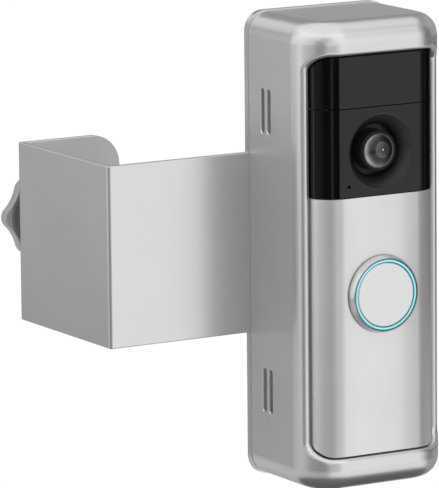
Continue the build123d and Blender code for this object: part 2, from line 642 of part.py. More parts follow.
# ------------------------------------------------------------ all pieces
PIECES = {
    "door_bracket": door_bracket,
    "plate_pad": plate_pad,
    "arm_pad": arm_pad,
    "edge_pad": edge_pad,
    "clamp_nut": clamp_nut,
    "clamp_screw": clamp_screw,
    "clamp_knob": clamp_knob,
    "knob_cap": knob_cap,
    "clamp_foot": clamp_foot,
    "foot_pad": foot_pad,
    "cover_shell": cover_shell,
    "cover_screws": lambda: [cover_screw(x, z) for x, z in COVER_SCREWS],
    "lip_foam": lip_foam,
    "wall_plate": wall_plate,
    "plate_screws": lambda: [plate_screw(x, z) for x, z in PLATE_SCREWS],
    "rear_case": rear_case,
    "case_seal": case_seal,
    "case_screws": lambda: [case_screw(x, z) for x, z in CASE_SCREWS],
    "front_frame": front_frame,
    "faceplate": faceplate,
    "faceplate_screw": faceplate_screw,
    "camera_window": camera_window,
    "sensor_window": sensor_window,
    "motion_sensor": motion_sensor,
    "camera_cone": camera_cone,
    "lens_barrel": lens_barrel,
    "front_lens": front_lens,
    "lens_iris": lens_iris,
    "rear_lens": rear_lens,
    "lens_holder": lens_holder,
    "camera_board": camera_board,
    "image_sensor": image_sensor,
    "infrared_leds": lambda: [infrared_led(x, z) for x in (-14.5, 14.5) for z in (27, 41)],
    "main_board": main_board,
    "board_parts": board_parts,
    "battery_pack": battery_pack,
    "speaker": speaker,
    "microphone": microphone,
    "mic_boot": mic_boot,
    "button_bezel": button_bezel,
    "light_ring": light_ring,
    "button_cap": button_cap,
    "switch_plunger": switch_plunger,
    "button_switch": button_switch,
    "button_board": button_board,
    "ring_leds": lambda: [ring_led(k) for k in range(RING_LEDS)],
    "button_seal": button_seal,
}

os.makedirs("parts", exist_ok=True)
for name, make in PIECES.items():
    save(name, make())
    print("made", name)
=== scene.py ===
# %% [markdown]
# # A video doorbell on a door bracket
# This lesson dresses a finished construction model of a video doorbell. The doorbell sits in a silver
# anti-theft cover, and the cover is screwed to a bent sheet bracket that clamps round the edge of a door.
# The construction model brings every piece at its real size, in metres, +X right, +Y through the door and
# +Z up. Here each piece gets the finish of its real material, and two of them, the clamp screw and the
# button's bezel, are built anew with finer forms.

# %% Load the construction model
import math

import bmesh
import bpy
from mathutils import Matrix, Vector


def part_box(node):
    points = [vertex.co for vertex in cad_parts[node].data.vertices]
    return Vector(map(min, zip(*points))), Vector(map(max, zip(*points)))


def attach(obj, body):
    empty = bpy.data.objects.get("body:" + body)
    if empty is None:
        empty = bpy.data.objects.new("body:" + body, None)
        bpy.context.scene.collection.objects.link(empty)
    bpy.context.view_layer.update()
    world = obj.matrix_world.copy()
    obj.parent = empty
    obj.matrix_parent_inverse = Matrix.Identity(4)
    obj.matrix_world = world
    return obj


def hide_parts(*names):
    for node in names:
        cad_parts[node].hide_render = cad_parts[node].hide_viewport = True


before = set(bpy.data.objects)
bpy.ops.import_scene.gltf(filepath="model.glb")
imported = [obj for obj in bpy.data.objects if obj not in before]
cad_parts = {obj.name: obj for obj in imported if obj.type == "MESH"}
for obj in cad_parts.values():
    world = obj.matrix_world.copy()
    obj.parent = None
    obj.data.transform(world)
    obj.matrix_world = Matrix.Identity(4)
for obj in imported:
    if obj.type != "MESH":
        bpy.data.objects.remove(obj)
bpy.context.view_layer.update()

MM = 0.001
print("pieces:", len(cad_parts))

# %% [markdown]
# ## The camera
# A long lens far away keeps the upright edges nearly parallel, as a product picture does. The camera is
# placed by two angles, a distance and the point it looks at, so each of them can be changed alone. The
# small roll is the tilt of a camera that wasn't quite level.

# %% Camera
CAMERA_TURN = math.radians(30.227)
CAMERA_RISE = math.radians(10.128)
CAMERA_ROLL = math.radians(-0.569)
CAMERA_DISTANCE = 1.6545
CAMERA_AIM = Vector((-0.0276, 0.0122, -0.0018))
LENS_MM = 385.16

look = Vector((math.sin(CAMERA_TURN) * math.cos(CAMERA_RISE), math.cos(CAMERA_TURN) * math.cos(CAMERA_RISE),
               -math.sin(CAMERA_RISE)))
level_right = Vector((math.cos(CAMERA_TURN), -math.sin(CAMERA_TURN), 0))
level_up = level_right.cross(look)
right = math.cos(CAMERA_ROLL) * level_right + math.sin(CAMERA_ROLL) * level_up
up = right.cross(look)
camera = bpy.data.objects.new("camera", bpy.data.cameras.new("camera"))
camera.data.lens = LENS_MM
camera.matrix_world = Matrix.Translation(CAMERA_AIM - look * CAMERA_DISTANCE) @ Matrix(
    (right, up, -look)).transposed().to_4x4()
bpy.context.collection.objects.link(camera)
bpy.context.scene.camera = camera
bpy.context.scene.view_settings.view_transform = "Standard"
print("camera at", [round(v, 3) for v in camera.location])

# %% [markdown]
# ## Helpers for materials
# Colours are written as the hex values a designer would pick, and one function turns them to the linear
# values that the renderer works in. A second one adds a node with its settings and links, so that a
# material reads as a short list of nodes. The others are the steps that the finishes share: a grain, a
# tint and a roughness that follow it, a colour by the distance from an axis, and a relief.

# %% Material helpers
NOISE_LOW, NOISE_HIGH = 0.3, 0.7  # nearly all values of a noise lie between these two


def linear(hex_colour):
    """Linear RGBA of an sRGB hex colour."""
    parts = [int(hex_colour[i:i + 2], 16) / 255 for i in (1, 3, 5)]
    return (*(c / 12.92 if c <= 0.04045 else ((c + 0.055) / 1.055) ** 2.4 for c in parts), 1)


def add(tree, kind, settings=None, terms=(), **links):
    """Adds a node. Settings are its options or input values, links are input name = output socket.
    The terms feed the first inputs in turn, each with a socket or a number, as a formula needs."""
    node = tree.nodes.new(kind)
    for name, value in (settings or {}).items():
        if name in node.inputs:
            node.inputs[name].default_value = value
        else:
            setattr(node, name, value)
    for term, entry in zip(terms, node.inputs):
        if isinstance(term, bpy.types.NodeSocket):
            tree.links.new(term, entry)
        else:
            entry.default_value = term
    for name, socket in links.items():
        tree.links.new(socket, node.inputs[name.replace("_", " ")])
    return node


def new_material(name, settings=None):
    """Material whose shader has the settings, with its node tree, shader and object coordinates."""
    material = bpy.data.materials.new(name)
    material.use_nodes = True
    tree = material.node_tree
    shader = tree.nodes["Principled BSDF"]
    for socket, value in (settings or {}).items():
        shader.inputs[socket].default_value = value
    place = add(tree, "ShaderNodeTexCoord").outputs["Object"]
    return material, tree, shader, place


def grain(tree, place, size_mm, detail=2.0, stretch=(1, 1, 1)):
    """Noise whose grains are size_mm across, longer along an axis where stretch is under 1."""
    scaled = add(tree, "ShaderNodeMapping", {"Scale": stretch}, Vector=place)
    noise = add(tree, "ShaderNodeTexNoise", {"Scale": 1 / (size_mm * MM), "Detail": detail},
                Vector=scaled.outputs["Vector"])
    return noise.outputs["Fac"]


def tint(tree, texture, dark, light):
    """Colour that runs from dark to light with a texture."""
    ramp = add(tree, "ShaderNodeValToRGB", None, Fac=texture)
    for element, at, colour in zip(ramp.color_ramp.elements, (NOISE_LOW, NOISE_HIGH), (dark, light)):
        element.position = at
        element.color = linear(colour)
    return ramp.outputs["Color"]


def vary_roughness(tree, shader, texture, low, high):
    """Roughness that runs from low to high with a texture."""
    span = add(tree, "ShaderNodeMapRange", {"From Min": NOISE_LOW, "From Max": NOISE_HIGH, "To Min": low,
                                            "To Max": high}, Value=texture)
    tree.links.new(span.outputs["Result"], shader.inputs["Roughness"])


def off_axis(tree, place, centre):
    """Distance in mm from the axis along Y through the point centre = (x, z) in mm."""
    shift = add(tree, "ShaderNodeMapping", {"Location": (-centre[0] * MM, 0, -centre[1] * MM)}, Vector=place)
    flat = add(tree, "ShaderNodeMapping", {"Scale": (1 / MM, 0, 1 / MM)}, Vector=shift.outputs["Vector"])
    reach = add(tree, "ShaderNodeVectorMath", {"operation": "LENGTH"}, [flat.outputs["Vector"]])
    return reach.outputs["Value"]


def rings(tree, distance, reach_mm, stops):
    """Colour by the distance from an axis, out to reach_mm. The stops are (mm, hex colour)."""
    share = add(tree, "ShaderNodeMapRange", {"From Max": reach_mm}, Value=distance)
    ramp = add(tree, "ShaderNodeValToRGB", None, Fac=share.outputs["Result"])
    elements = ramp.color_ramp.elements
    while len(elements) < len(stops):
        elements.new(0.5)
    for element, (at_mm, colour) in zip(elements, stops):
        element.position = at_mm / reach_mm
    for element, (at_mm, colour) in zip(elements, stops):
        element.color = linear(colour)
    return ramp.outputs["Color"]


def relief(tree, shader, height, depth_mm):
    """Bump of depth_mm under the shader, on top of any bump that is already there."""
    bump = add(tree, "ShaderNodeBump", {"Strength": 1.0, "Distance": depth_mm * MM}, Height=height)
    if shader.inputs["Normal"].is_linked:
        tree.links.new(shader.inputs["Normal"].links[0].from_socket, bump.inputs["Normal"])
    tree.links.new(bump.outputs["Normal"], shader.inputs["Normal"])


def dress(material, *nodes):
    """Gives construction pieces a material."""
    for name in nodes:
        for material_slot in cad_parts[name].material_slots:
            material_slot.material = material
    print(material.name, "on", ", ".join(nodes))


print("middle grey in linear light:", round(linear("#808080")[0], 3))

# %% [markdown]
# ## Finely brushed silver
# The bracket is one strip of 2 mm aluminium, cut, bent, finely brushed along its length and anodised. The
# cover is moulded in ABS and lacquered silver over the same fine brushing, and the doorbell's lower
# front is an aluminium skin. Brushing leaves scratches a few hundredths of a millimetre wide. Single
# scratches can't be seen at this distance, but together they blur what the metal mirrors.
#
# An image of scratches would repeat on a face this long, so the lines are a noise that is stretched
# fifty times along X and Y. It is drawn about 0.2 mm high, the finest that shows, and only moves the
# roughness and a bump of a thousandth of a millimetre. A second, wide and faint noise keeps a large face
# from looking like flat card. The finishes differ most in how metallic they are: nearly all on the
# anodised bracket, a little less under the cover's lacquer, and least on the doorbell's skin.

# %% Finely brushed silver
LINE_STRETCH = (0.02, 0.02, 1)
LINE_DEPTH_MM = 0.001


def brushed_silver(name, dark, light, roughness, metallic, line_mm, cloud_mm, form=None):
    """Metal with fine lines along X and Y. A form is a function that shades the shape under the lines."""
    material, tree, shader, place = new_material(name, {"Metallic": metallic})
    lines = grain(tree, place, line_mm, 3, LINE_STRETCH)
    tree.links.new(tint(tree, grain(tree, place, cloud_mm, 1), dark, light), shader.inputs["Base Color"])
    vary_roughness(tree, shader, lines, roughness, roughness + 0.04)
    if form:
        form(tree, shader, place)
    relief(tree, shader, lines, LINE_DEPTH_MM)
    return material


dress(brushed_silver("anodised_aluminium_fine_brushed", "#E3E3E3", "#E7E7E7", roughness=0.275, metallic=0.93,
                     line_mm=0.22, cloud_mm=30), "door_bracket")
dress(brushed_silver("silver_lacquer_fine_brushed", "#E4E4E4", "#E7E7E7", roughness=0.285, metallic=0.9,
                     line_mm=0.2, cloud_mm=25), "cover_shell")
bracket_low, bracket_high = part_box("door_bracket")
print("bracket size in mm:", [round(v / MM, 1) for v in bracket_high - bracket_low])

# %% [markdown]
# ## The faceplate's form
# The faceplate isn't quite flat. It is crowned from left to right, as if it lay on a cylinder of 190 mm
# radius, and from 6 mm beside its middle it also rolls down towards its upright edges. Both show as a
# soft fall of the light to the left and the right. The construction model has the front flat between the
# rounds of those edges, so the form is drawn with two bumps, which tilt the light and move nothing: a
# height that falls with the square of the distance from the middle, and a smooth step.

# %% Faceplate
FACE_CROWN_MM = 190
ROLL_FROM_MM, ROLL_TO_MM, ROLL_MM = 6, 21.9, 0.8
HEIGHT_IN_METRES = 1 / MM  # depth of a relief whose height is worked out in metres


def face_form(tree, shader, place):
    """Shades a flat front as if it were crowned from left to right and rolled down at the sides."""
    across = add(tree, "ShaderNodeSeparateXYZ", None, Vector=place).outputs["X"]
    square = add(tree, "ShaderNodeMath", {"operation": "MULTIPLY"}, [across, across]).outputs[0]
    crown = add(tree, "ShaderNodeMath", {"operation": "MULTIPLY"}, [square, -0.5 / (FACE_CROWN_MM * MM)])
    relief(tree, shader, crown.outputs[0], HEIGHT_IN_METRES)
    beside = add(tree, "ShaderNodeMath", {"operation": "ABSOLUTE"}, [across]).outputs[0]
    roll = add(tree, "ShaderNodeMapRange", {
        "interpolation_type": "SMOOTHSTEP", "From Min": ROLL_FROM_MM * MM, "From Max": ROLL_TO_MM * MM,
        "To Max": -ROLL_MM * MM}, Value=beside)
    relief(tree, shader, roll.outputs["Result"], HEIGHT_IN_METRES)


dress(brushed_silver("aluminium_skin_fine_brushed", "#E3E3E3", "#E7E7E7", roughness=0.31, metallic=0.8,
                     line_mm=0.18, cloud_mm=20, form=face_form), "faceplate")
half_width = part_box("faceplate")[1].x / MM
print("at the faceplate's edge, crown in mm:", round(half_width ** 2 / 2 / FACE_CROWN_MM, 2))
print("and roll in mm:", ROLL_MM)

# %% [markdown]
# ## Gloss black windows
# The camera and the motion sensor look out through black acrylic. It is so smooth that the eye only sees
# what it mirrors, so the roughness is close to zero, and a very slight waviness bends the reflections as
# a moulded sheet does.

# %% Black acrylic
def black_acrylic():
    """Polished black sheet with a faint waviness and a little dust."""
    material, tree, shader, place = new_material("gloss_black_acrylic", {"IOR": 1.49})
    waves = grain(tree, place, 14, 1)
    dust = grain(tree, place, 0.4, 2)
    tree.links.new(tint(tree, waves, "#020202", "#040404"), shader.inputs["Base Color"])
    vary_roughness(tree, shader, dust, 0.03, 0.07)
    relief(tree, shader, waves, 0.01)
    return material


dress(black_acrylic(), "camera_window", "sensor_window")

# %% [markdown]
# ## Camera
# The camera sits at the bottom of a conical recess in satin black plastic, which keeps stray light off
# the lens. The recess is darker towards the lens and a little paler towards its wide end, which is painted
# shade. The barrel is black anodised, and a thin pale ring at the edge of its front ring is a painted
# highlight. Both are colours by the distance from the lens's axis.
#
# The front element could be clear glass over the stop and the rear element, but so small a lens would
# only show noise. It is one dark solid instead, with the rings that are seen through it in its colour and
# the mirror of the coating on top. Those rings stand for inner lenses deep in the barrel, and lie a
# little off its axis. Its colour also holds painted highlights: a bright glint in the middle and a pale
# ring near its rim.

# %% Camera finishes
CAMERA_AXIS = (0, 32.5)
# Axis of the lens's inner rings and of its painted highlights, a little off the camera's axis.
INNER_LENS_AND_GLINT_AXIS = (0.8, 32.9)
# Painted shade: the cone is darker towards the lens, at the bottom of the recess.
CONE_PAINTED_SHADE_RINGS = [(6.4, "#060606"), (8.2, "#0B0B0A"), (9.0, "#1D1C1A"), (10.6, "#2A2926"), (11.6, "#2C2B28")]
# Painted highlight: the pale ring at 5.25 mm, at the edge of the barrel's front ring.
BARREL_RINGS_AND_PAINTED_HIGHLIGHT = [(0, "#0A0A0A"), (5.15, "#0A0A0A"), (5.25, "#6E6E70"), (5.45, "#0C0C0C"), (6.1, "#0E0E0F"),
                (6.3, "#1E1E20")]
# Painted highlights: the bright middle and the pale ring near the rim.
LENS_RINGS_AND_PAINTED_GLINTS = [(0, "#E8E8E8"), (0.3, "#9A9A9A"), (0.45, "#101010"), (0.9, "#2A2A2A"), (1.1, "#4A4A4A"),
              (1.7, "#383838"), (2.2, "#545454"), (2.5, "#484848"), (2.7, "#161616"), (3.9, "#202020"),
              (4.7, "#505050"), (5.6, "#AAAAAA"), (6.1, "#7A7A7A")]


def ringed_black(name, stops, roughness, specular):
    """Satin black part whose tone changes with the distance from the lens's axis."""
    material, tree, shader, place = new_material(name, {"Specular IOR Level": specular})
    tone = rings(tree, off_axis(tree, place, CAMERA_AXIS), 13.0, stops)
    tree.links.new(tone, shader.inputs["Base Color"])
    vary_roughness(tree, shader, grain(tree, place, 0.3, 2), roughness, roughness + 0.08)
    return material


def black_stop():
    """Black stop between the front and the rear element."""
    material, tree, shader, place = new_material("matt_black_stop")
    texture = grain(tree, place, 0.3, 2)
    tree.links.new(tint(tree, texture, "#050505", "#1C1D20"), shader.inputs["Base Color"])
    vary_roughness(tree, shader, texture, 0.22, 0.3)
    relief(tree, shader, texture, 0.006)
    return material


def coated_lens():
    """Front element as one solid: its coating mirrors, the rings of the lens show through it, and painted
    highlights sit in its colour.
    """
    material, tree, shader, place = new_material("coated_lens_glass", {
        "Metallic": 0.5, "IOR": 1.6, "Coat Weight": 0.4, "Coat Roughness": 0.12, "Coat IOR": 1.5})
    tone = rings(tree, off_axis(tree, place, INNER_LENS_AND_GLINT_AXIS), 6.4, LENS_RINGS_AND_PAINTED_GLINTS)
    tree.links.new(tone, shader.inputs["Base Color"])
    vary_roughness(tree, shader, grain(tree, place, 1.5, 1), 0.24, 0.28)
    return material


dress(ringed_black("satin_black_cone", CONE_PAINTED_SHADE_RINGS, roughness=0.34, specular=0.35), "camera_cone")
dress(ringed_black("black_anodised_barrel", BARREL_RINGS_AND_PAINTED_HIGHLIGHT, roughness=0.28, specular=0.2), "lens_barrel")
dress(black_stop(), "lens_iris")
dress(coated_lens(), "front_lens", "rear_lens")

# %% [markdown]
# ## Push button
# The button's bezel is a turned aluminium ring, and its cap a satin disc of the same metal. Turning
# leaves rings round the axis, so the noise here depends only on the distance from it. Between the two
# stands the light guide, a clear ring lit from below in cyan. Its edges are darker than its middle,
# because the light leaves it upwards, and that too is a colour by distance from the axis. Painted shade is a
# third one, for a piece whose corners and edges are darker than its faces.

# %% Button finishes
BUTTON_AXIS = (0, -12.3)
LATHE_RINGS_PER_MM = 6.0
GUIDE_RINGS = [(10.2, "#1F6A74"), (10.4, "#3F9AA2"), (10.55, "#97D6DB"), (10.8, "#97D6DB"),
               (10.95, "#4FB4BC"), (11.1, "#2C7E88")]


def turned_metal(name, dark, light, roughness, metallic, painted_shade=None):
    """Metal with the fine rings of a lathe round the button's axis. Painted shade is a list of (mm, colour).
    """
    material, tree, shader, place = new_material(name, {"Metallic": metallic})
    distance = off_axis(tree, place, BUTTON_AXIS)
    along = add(tree, "ShaderNodeCombineXYZ", None, X=distance).outputs["Vector"]
    lathe = add(tree, "ShaderNodeTexNoise", {"Scale": LATHE_RINGS_PER_MM, "Detail": 1.0}, Vector=along)
    colour = tint(tree, lathe.outputs["Fac"], dark, light)
    # Painted shade: darker rings by the distance from the axis, multiplied into the colour.
    if painted_shade:
        # A mix node's colour sockets are inputs 6 and 7 and output 2. Its number sockets share their names.
        painted_shade_mix = add(tree, "ShaderNodeMix", {"data_type": "RGBA", "blend_type": "MULTIPLY", "Factor": 1.0})
        tree.links.new(colour, painted_shade_mix.inputs[6])
        tree.links.new(rings(tree, distance, 14.0, painted_shade), painted_shade_mix.inputs[7])
        colour = painted_shade_mix.outputs[2]
    tree.links.new(colour, shader.inputs["Base Color"])
    vary_roughness(tree, shader, lathe.outputs["Fac"], roughness, roughness + 0.04)
    return material


def lit_guide():
    """Clear ring that glows faintly in the cyan of the lamps under it."""
    material, tree, shader, place = new_material("cyan_light_guide", {"Emission Strength": 0.25})
    glow = rings(tree, off_axis(tree, place, BUTTON_AXIS), 12.0, GUIDE_RINGS)
    tree.links.new(glow, shader.inputs["Base Color"])
    tree.links.new(glow, shader.inputs["Emission Color"])
    vary_roughness(tree, shader, grain(tree, place, 4, 1), 0.22, 0.3)
    return material


dress(turned_metal("satin_button_aluminium", "#DCDCDC", "#E0E0E0", roughness=0.3, metallic=0.5), "button_cap")
dress(lit_guide(), "light_ring")

# %% [markdown]
# ## Plastic, rubber, foam and steel
# The rest are plain industrial finishes. The wall plate, the clamp's foot and a few small carriers are
# spark-eroded black plastic, and the doorbell's tub and frame are grey, which shows through the sound
# slots. Rubber is moulded, foam is closed-cell with a skin of tiny bubbles, and zinc-plated steel has the
# faint colour shift of its passivation. The knob is grey plastic sprayed silver, and is darker in the
# recess round its boss, which is painted shade.

# %% Industrial finishes
CLAMP_AXIS = (-58.4, 1.6)
# Painted shade of the knob: darker within about 11 mm of its axis, in the recess round its boss, with a dark
# line at 10.8 mm.
KNOB_PAINTED_SHADE_RINGS = [(10.5, "#8C8C8C"), (10.8, "#505050"), (11.0, "#909090"), (11.4, "#A8A8A8")]
FOAM_CELL_MM = 0.5


def moulded_plastic(name, dark, light, roughness, grain_mm=0.3, metallic=0.0):
    """Fine even grain, as of a spark-eroded mould. In other colours it does for rubber, resin and plating."""
    material, tree, shader, place = new_material(name, {"Metallic": metallic})
    texture = grain(tree, place, grain_mm, 2)
    tree.links.new(tint(tree, texture, dark, light), shader.inputs["Base Color"])
    vary_roughness(tree, shader, texture, roughness, roughness + 0.1)
    relief(tree, shader, texture, 0.01)
    return material


def closed_cell_foam(name, dark, light):
    """Foam whose bubbles are rougher in their middle than at their edges."""
    material, tree, shader, place = new_material(name)
    cells = add(tree, "ShaderNodeTexVoronoi", {"Scale": 1 / (FOAM_CELL_MM * MM)}, Vector=place)
    cells = cells.outputs["Distance"]
    tree.links.new(tint(tree, cells, dark, light), shader.inputs["Base Color"])
    vary_roughness(tree, shader, cells, 0.95, 0.8)
    relief(tree, shader, cells, 0.06)
    return material


def zinc_plated_steel():
    """Bright zinc, a little warmer and a little bluer in patches."""
    material, tree, shader, place = new_material("zinc_plated_steel", {"Metallic": 1.0})
    spangle = grain(tree, place, 1.2, 3)
    tree.links.new(tint(tree, spangle, "#B9BCC2", "#CFCDC6"), shader.inputs["Base Color"])
    vary_roughness(tree, shader, spangle, 0.25, 0.38)
    return material


def sprayed_knob():
    """Silver spray over grey plastic, darker in the recess round the knob's boss, which is painted shade."""
    material, tree, shader, place = new_material("silver_sprayed_knob_plastic", {"Metallic": 0.4})
    mist = grain(tree, place, 0.4, 2)
    colour = rings(tree, off_axis(tree, place, CLAMP_AXIS), 14.0, KNOB_PAINTED_SHADE_RINGS)
    tree.links.new(colour, shader.inputs["Base Color"])
    vary_roughness(tree, shader, mist, 0.34, 0.42)
    relief(tree, shader, mist, 0.004)
    return material


steel = zinc_plated_steel()
dress(steel, "clamp_nut", "clamp_screw", "cover_screws", "plate_screws", "case_screws", "faceplate_screw")
dress(sprayed_knob(), "clamp_knob", "knob_cap")
dress(closed_cell_foam("grey_eva_foam", "#AEAEAC", "#BABAB8"), "plate_pad", "arm_pad", "edge_pad")
dress(closed_cell_foam("pale_grey_eva_foam", "#CFCFCD", "#DBDBD9"), "lip_foam")
dress(moulded_plastic("black_moulded_plastic", "#0C0C0D", "#161617", 0.45),
      "clamp_foot", "wall_plate", "lens_holder", "speaker", "switch_plunger")
dress(moulded_plastic("grey_moulded_plastic", "#7E7F81", "#868789", 0.4), "rear_case", "front_frame")
dress(moulded_plastic("moulded_rubber", "#0B0B0B", "#141414", 0.7, grain_mm=0.6),
      "foot_pad", "case_seal", "mic_boot", "button_seal")
dress(moulded_plastic("circuit_board_resist", "#0A4A24", "#116032", 0.3, grain_mm=1.5),
      "camera_board", "main_board", "button_board")
dress(moulded_plastic("chip_epoxy", "#0E0E10", "#1A1A1C", 0.5, grain_mm=0.2), "image_sensor", "board_parts")
dress(moulded_plastic("battery_wrap", "#1F3A6E", "#254580", 0.3, grain_mm=2.0), "battery_pack")
dress(moulded_plastic("clear_led_epoxy", "#D8D6C8", "#E8E6DC", 0.2, grain_mm=0.4),
      "infrared_leds", "ring_leds")
dress(moulded_plastic("nickel_plated_can", "#BDBBB4", "#CBC9C2", 0.3, grain_mm=0.5, metallic=1.0),
      "motion_sensor", "microphone", "button_switch")

# %% [markdown]
# ## Turned pieces
# Turned pieces are made as on a lathe: a section of (radius, depth) points goes round an axis along Y.
# The ends are closed with a face, or the last point joins the first where the piece is a ring. Points
# can be kept inside a hexagon, and then the section is a bolt head whose corners are chamfered.

# %% Turned pieces
SHARP_DEG = 40  # an edge that turns by more than this is shaded as an edge, and a smaller one as a round


def turn_section(shape, section, sides, hexagon=0.0, ring=False):
    """Turns (radius, depth) points round the Y axis. With hexagon, points stay inside one that wide."""
    loops = []
    for radius, depth in section:
        loop = []
        for k in range(sides):
            angle = math.tau * k / sides
            reach = radius
            if hexagon:
                reach = min(radius, hexagon / 2 / math.cos(angle % (math.pi / 3) - math.pi / 6))
            loop.append(shape.verts.new((reach * math.cos(angle), depth, reach * math.sin(angle))))
        loops.append(loop)
    for one, two in zip(loops, loops[1:] + (loops[:1] if ring else [])):
        for k in range(sides):
            shape.faces.new((one[k], one[(k + 1) % sides], two[(k + 1) % sides], two[k]))
    if not ring:
        shape.faces.new(loops[0])
        shape.faces.new(loops[-1])


def rounded(before, corner, after, reach, steps=4):
    """Points of a section's corner, rounded off from a reach before it to the same reach after it."""
    before, corner, after = (Vector(p) for p in (before, corner, after))
    start = corner + (before - corner).normalized() * reach
    end = corner + (after - corner).normalized() * reach
    shares = [i / steps for i in range(steps + 1)]
    return [tuple(start.lerp(corner, t).lerp(corner.lerp(end, t), t)) for t in shares]


def turned_piece(name, shape, axis, node, body, material):
    """Finished piece on an axis given in mm, which rides on a body and stands for a construction piece."""
    bmesh.ops.translate(shape, vec=(axis[0] * MM, 0, axis[1] * MM), verts=shape.verts)
    bmesh.ops.recalc_face_normals(shape, faces=shape.faces)
    mesh = bpy.data.meshes.new(name)
    shape.to_mesh(mesh)
    shape.free()
    mesh.materials.clear()
    mesh.materials.append(material)
    mesh.shade_smooth()
    mesh.set_sharp_from_angle(angle=math.radians(SHARP_DEG))
    piece = bpy.data.objects.new(name, mesh)
    bpy.context.collection.objects.link(piece)
    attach(piece, body)
    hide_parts(node)
    low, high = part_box(node)
    drawn = [[v.co[i] / MM for v in mesh.vertices] for i in range(3)]
    print(name, "has", len(mesh.polygons), "faces")
    print("  construction box in mm:", [round(v / MM, 2) for v in (*low, *high)])
    print("  drawn box in mm:", [round(min(d), 2) for d in drawn] + [round(max(d), 2) for d in drawn])


print("a rounded corner has", len(rounded((0, 0), (1, 0), (1, 1), 0.2)), "points")

# %% [markdown]
# ## The button's bezel
# The bezel is turned to a cone that leans in towards the light guide, so that a finger finds the button
# in the dark. The construction model has it as a ring with a rounded crest. The cone matters to the
# look, because it mirrors the sky above it and the dark ground below it instead of the street ahead. It
# is darker at its foot and at its hole, which is painted shade.

# %% Button bezel
BEZEL_FOOT_R, BEZEL_CREST_R, BEZEL_HOLE_R, BEZEL_SPIGOT_R = 12.42, 11.62, 11.2, 11.55
FOOT_WALL_MM, HOLE_WALL_MM = 0.35, 0.3
HOLE_ROUND_MM, CREST_ROUND_MM, FOOT_ROUND_MM = 0.18, 0.2, 0.3
BEZEL_SIDES = 128
# Painted shade of the bezel: darker at its foot and at its hole.
BEZEL_PAINTED_SHADE = [(11.45, "#8A8A8A"), (11.62, "#FFFFFF"), (12.2, "#F4F4F4"), (12.34, "#CACACA"),
               (12.42, "#8E8E8E")]


def cone_bezel(material):
    """Cone round the light guide, with a small rounded crest and a spigot that goes into the faceplate."""
    low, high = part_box("button_bezel")
    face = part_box("faceplate")[0].y
    foot, crest, hole, spigot = (r * MM for r in (BEZEL_FOOT_R, BEZEL_CREST_R, BEZEL_HOLE_R, BEZEL_SPIGOT_R))
    foot_top = (foot, face - FOOT_WALL_MM * MM)
    section = [(hole, high.y), (hole, low.y + HOLE_WALL_MM * MM)]
    section += rounded((hole, high.y), (hole, low.y), (crest, low.y), HOLE_ROUND_MM * MM)
    section += rounded((hole, low.y), (crest, low.y), foot_top, CREST_ROUND_MM * MM)
    section += rounded((crest, low.y), foot_top, (foot, face), FOOT_ROUND_MM * MM)
    section += [(foot, face), (spigot, face), (spigot, high.y)]
    shape = bmesh.new()
    turn_section(shape, section, BEZEL_SIDES, ring=True)
    turned_piece("cone_bezel", shape, BUTTON_AXIS, "button_bezel", "bracket", material)


cone_bezel(turned_metal("turned_bezel_aluminium", "#E4E4E4", "#F0F0F0", roughness=0.22, metallic=0.92,
                        painted_shade=BEZEL_PAINTED_SHADE))

# %% [markdown]
# ## The clamp screw
# The construction model has a smooth rod here, as a machinist would draw it. The real screw is an M6
# with a rolled thread: a 1 mm pitch, crests a little flattened and a rounded root. A thread is one
# profile that climbs round an axis, so a grid is enough to make it. Its columns run round the screw and
# its rows along it, and each point's distance from the axis depends only on how far it lies from the
# nearest crest. The thread runs out into the core at both ends. A node group makes it, because the
# length and the pitch then stay numbers that can be changed on another screw.

# %% Thread of the clamp screw
SCREW_THREAD = {"Length": 18.7 * MM, "Pitch": 1.0 * MM, "Crest radius": 2.97 * MM, "Core radius": 2.42 * MM,
                "Columns": 49, "Rows per turn": 12}
FLANK_FROM, FLANK_TO = 0.06, 0.44  # in pitches from the crest, which leaves crest and root a little flat
WELD_MM = 0.002


